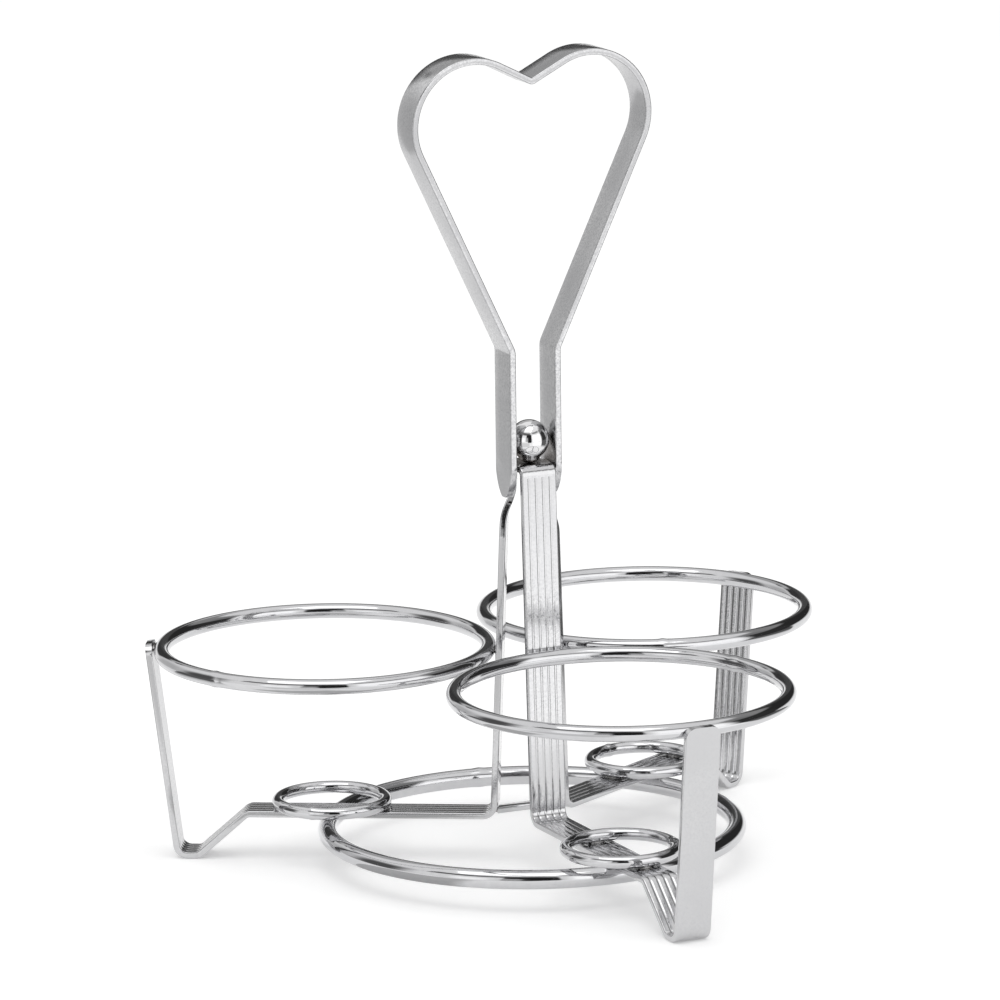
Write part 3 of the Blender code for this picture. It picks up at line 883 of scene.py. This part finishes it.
class CADDY_OT_ball(bpy.types.Operator):
    """Models the ball and the weld collar it stands on."""

    bl_idname = "caddy.ball"
    bl_label = "Ball"

    def execute(self, context):
        strip, handle = context.scene.caddy_strips, context.scene.caddy_handle
        radius = handle.ball / 2
        foot = -radius - handle.ball_lift + handle.collar_gap
        mesh = bmesh.new()
        bmesh.ops.create_uvsphere(mesh, u_segments=64, v_segments=40, radius=radius)
        for vertex in mesh.verts:
            if vertex.co.z < -radius / 2:
                low = vertex.co.z + radius
                flare = math.exp(-(low / handle.collar_spread) ** 2)
                vertex.co.x *= 1 + handle.collar_flare * flare
                vertex.co.y *= 1 + handle.collar_flare * flare
                vertex.co.z += (foot + radius) * flare
        close_and_face_out(mesh)
        centre = Vector((0, -handle.ball_forward, strip.tab_top + handle.ball_lift + radius))
        bmesh.ops.translate(mesh, verts=mesh.verts, vec=AXIS + centre)
        piece_from(mesh, "knob_ball_polished", finish_of("ball"), ["knob_ball"])
        return {"FINISHED"}


def bead(mesh, kind, centre, along, across, proud, seed):
    """A small weld nugget: an uneven pad along three directions."""
    long, wide, high = (size * MM for size in BEADS[kind])
    for vertex in bmesh.ops.create_icosphere(mesh, subdivisions=3, radius=1)["verts"]:
        lump = noise.noise(vertex.co * LUMPS_ACROSS + RIGHT * seed)
        point = vertex.co * (1 + BEAD_LUMPS * lump)
        vertex.co = centre + along * long * point.x + across * wide * point.y
        vertex.co += proud * high * point.z


class CADDY_OT_welds(bpy.types.Operator):
    """Models the weld nuggets that join the pieces."""

    bl_idname = "caddy.welds"
    bl_label = "Welds"

    def execute(self, context):
        scene = context.scene
        ring, strip, handle = scene.caddy_rings, scene.caddy_strips, scene.caddy_handle
        mesh = bmesh.new()
        seed = 0
        half = strip.thickness / 2
        gap = strip.clearance / 2
        for place in PLACES:
            out = outward(place)
            side = UPRIGHT.cross(out)
            column = column_reach(strip, ring, ring.jar_height) + gap
            upright = upright_reach(strip, ring, ring.jar_height) - half - gap
            for number, reach in enumerate((column, upright)):
                joint = rack_point(place, reach, ring.jar_height)
                bead(mesh, "ring", joint, side, UPRIGHT, out, seed + number)
            for step in (-1, 1):
                joint = rack_point(place, ring.seat_reach + step * ring.seat_radius,
                                   strip.run_height + half + gap)
                bead(mesh, "seat", joint, side, out, UPRIGHT, seed + 3 + step)
            joint = rack_point(place, ring.base_radius, strip.run_height - half - gap)
            bead(mesh, "base", joint, side, out, UPRIGHT, seed + 5)
            seed += 7
        tie_low, tie_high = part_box("rear_tie")
        tie_middle = (tie_low + tie_high) / 2
        for side in (-1, 1):
            tie_end = Vector((side * (tie_high.x - TIE_BEAD_IN), tie_middle.y, tie_middle.z))
            bead(mesh, "tie", tie_end, BACK, UPRIGHT, RIGHT, seed)
            wall = side * (strip.width / 2 + handle.leg_space / 2) / 2
            tongue = Vector((wall, TONGUE_BEAD_BACK, strip.tab_top - TONGUE_BEAD_DOWN))
            bead(mesh, "tongue", AXIS + tongue, UPRIGHT, BACK, RIGHT, seed + 2)
            tab = Vector((wall, -handle.forward, strip.tab_top - half))
            bead(mesh, "tab", AXIS + tab, BACK, UPRIGHT, RIGHT, seed + 3)
            seed += 5
        bmesh.ops.recalc_face_normals(mesh, faces=mesh.faces)
        piece_from(mesh, "weld_beads", finish_of("weld"), [])
        return {"FINISHED"}


def patched(tree, upward, patches):
    """White that turns to each patch's own tone within its edges, on a wall or else on a floor."""
    shifted = vector_maths(tree, "SUBTRACT", object_place(tree), AXIS)
    parts = node(tree, "SeparateXYZ", {"Vector": shifted}).outputs
    reach = parts["Z"] if upward else vector_maths(tree, "LENGTH", shifted)
    azimuth = maths(tree, "ARCTAN2", parts["Y"], parts["X"])
    polar = node(tree, "CombineXYZ", {"X": azimuth, "Y": reach}).outputs["Vector"]
    tone = 1
    for centre, half, low, high, own, soft in patches:
        middle = (math.radians(centre), (low + high) / 2, 0)
        within = fitted(tree, polar, middle, (math.radians(half), (high - low) / 2, 1))
        sides = node(tree, "SeparateXYZ", {"Vector": vector_maths(tree, "ABSOLUTE", within)})
        edge = maths(tree, "SMOOTH_MAX", sides.outputs["X"], sides.outputs["Y"], soft)
        tone = mapped(tree, edge, own, tone, start=1 - soft, kind="SMOOTHSTEP")
    return tone


def background_rays(tree, path):
    """One for camera, glossy and transmission rays and 0 for the others."""
    seen = path.outputs["Is Camera Ray"]
    for ray in ("Is Glossy Ray", "Is Transmission Ray"):
        seen = maths(tree, "MAXIMUM", seen, path.outputs[ray])
    return seen


def make_floor(settings):
    """A wide level floor that shows white but keeps the rack's shadow."""
    mesh = bmesh.new()
    bmesh.ops.create_circle(mesh, cap_ends=True, segments=96, radius=settings.floor_radius)
    floor = object_from(mesh, "floor")
    material, tree, shader = tree_of("floor_paint")
    floor.data.materials.append(material)
    path = node(tree, "LightPath", {})
    tone = mapped(tree, path.outputs["Is Glossy Ray"], 1, patched(tree, False, FLOOR_PATCHES))
    feed(tree, shader, {
        "Base Color": mixed(tree, tone, (0, 0, 0), settings.floor_colour),
        "Roughness": 0.9,
        "Specular IOR Level": 0,
        "Emission Color": (settings.floor_glow,) * 3 + (1,),
        "Emission Strength": maths(tree, "MULTIPLY", background_rays(tree, path), tone),
    })


def make_world(settings):
    """An even white room, plain white where the camera and the chrome look at it."""
    world = bpy.data.worlds.new("caddy_room")
    bpy.context.scene.world = world
    world.use_nodes = True
    tree = world.node_tree
    seen = background_rays(tree, node(tree, "LightPath", {}))
    strength = mapped(tree, seen, settings.world_strength, 1)
    feed(tree, tree.nodes["Background"], {"Color": (1, 1, 1, 1), "Strength": strength})


def make_lamp(settings):
    """One large soft lamp over the rack's left side."""
    data = bpy.data.lights.new("soft_lamp", "AREA")
    data.shape = "RECTANGLE"
    data.size = settings.key_width
    data.size_y = settings.key_depth
    data.energy = settings.key_power
    lamp = bpy.data.objects.new("soft_lamp", data)
    bpy.context.scene.collection.objects.link(lamp)
    lamp.location = settings.key_place
    lamp.rotation_mode = "QUATERNION"
    lamp.rotation_quaternion = (lamp.location - AXIS).to_track_quat("Z", "Y")


def make_wall(settings):
    """A white tent wall round the rack with darker areas, seen only by the chrome."""
    mesh = bmesh.new()
    foot = mesh.verts.new(AXIS + RIGHT * settings.wall_radius)
    head = mesh.verts.new(foot.co + UPRIGHT * settings.wall_height)
    rim = mesh.edges.new((foot, head))
    bmesh.ops.spin(mesh, geom=[foot, head, rim], cent=AXIS, axis=UPRIGHT, dvec=(0, 0, 0),
                   angle=math.tau, steps=96, use_merge=True)
    wall = object_from(mesh, "tent_wall")
    material, tree, shader = tree_of("tent_cloth")
    wall.data.materials.append(material)
    feed(tree, shader, {
        "Base Color": (0, 0, 0, 1),
        "Roughness": 1,
        "Specular IOR Level": 0,
        "Emission Color": (1, 1, 1, 1),
        "Emission Strength": patched(tree, True, WALL_PATCHES),
    })
    wall.visible_camera = False
    wall.visible_diffuse = False
    wall.visible_shadow = False


def make_camera(settings):
    """The camera at the photograph's place."""
    data = bpy.data.cameras.new("camera")
    data.lens = settings.camera_lens
    camera = bpy.data.objects.new("camera", data)
    bpy.context.scene.collection.objects.link(camera)
    turn = Matrix.Rotation(settings.camera_turn, 4, "Z")
    fall = Matrix.Rotation(math.pi / 2 - settings.camera_fall, 4, "X")
    roll = Matrix.Rotation(-settings.camera_roll, 4, "Z")
    camera.matrix_world = Matrix.Translation(settings.camera_place) @ turn @ fall @ roll
    bpy.context.scene.camera = camera


class CADDY_OT_stage(bpy.types.Operator):
    """Sets up the floor, the room's light, the lamp, the tent wall and the camera."""

    bl_idname = "caddy.stage"
    bl_label = "Stage"

    def execute(self, context):
        settings = context.scene.caddy_stage
        make_floor(settings)
        make_world(settings)
        make_lamp(settings)
        make_wall(settings)
        make_camera(settings)
        context.scene.view_settings.view_transform = "Standard"
        return {"FINISHED"}


class CADDY_PT_panel(bpy.types.Panel):
    """Lists the steps that model the caddy."""

    bl_idname = "CADDY_PT_panel"
    bl_label = "Condiment caddy"
    bl_space_type = "VIEW_3D"
    bl_region_type = "UI"
    bl_category = "Caddy"

    def draw(self, context):
        for step in STEPS:
            self.layout.operator(step.bl_idname)


GROUPS = {
    "caddy_rings": CaddyRingSizes,
    "caddy_strips": CaddyStripSizes,
    "caddy_handle": CaddyHandleSizes,
    "caddy_finish": CaddyFinish,
    "caddy_stage": CaddyStage,
}
STEPS = (
    CADDY_OT_leg_strips,
    CADDY_OT_rear_tie,
    CADDY_OT_jar_rings,
    CADDY_OT_seat_rings,
    CADDY_OT_base_ring,
    CADDY_OT_handle,
    CADDY_OT_ball,
    CADDY_OT_welds,
    CADDY_OT_stage,
)


def register():
    """Registers the settings, the operators and the panel."""
    for name, group in GROUPS.items():
        bpy.utils.register_class(group)
        setattr(bpy.types.Scene, name, PointerProperty(type=group))
    for step in (*STEPS, CADDY_PT_panel):
        bpy.utils.register_class(step)


def unregister():
    """Takes away what register added."""
    for step in (CADDY_PT_panel, *reversed(STEPS)):
        bpy.utils.unregister_class(step)
    for name, group in reversed(GROUPS.items()):
        delattr(bpy.types.Scene, name)
        bpy.utils.unregister_class(group)


def main():
    """Models the caddy step by step."""
    register()
    bpy.ops.caddy.leg_strips()
    bpy.ops.caddy.rear_tie()
    bpy.ops.caddy.jar_rings()
    bpy.ops.caddy.seat_rings()
    bpy.ops.caddy.base_ring()
    bpy.ops.caddy.handle()
    bpy.ops.caddy.ball()
    bpy.ops.caddy.welds()
    bpy.ops.caddy.stage()


if __name__ == "__main__":
    main()
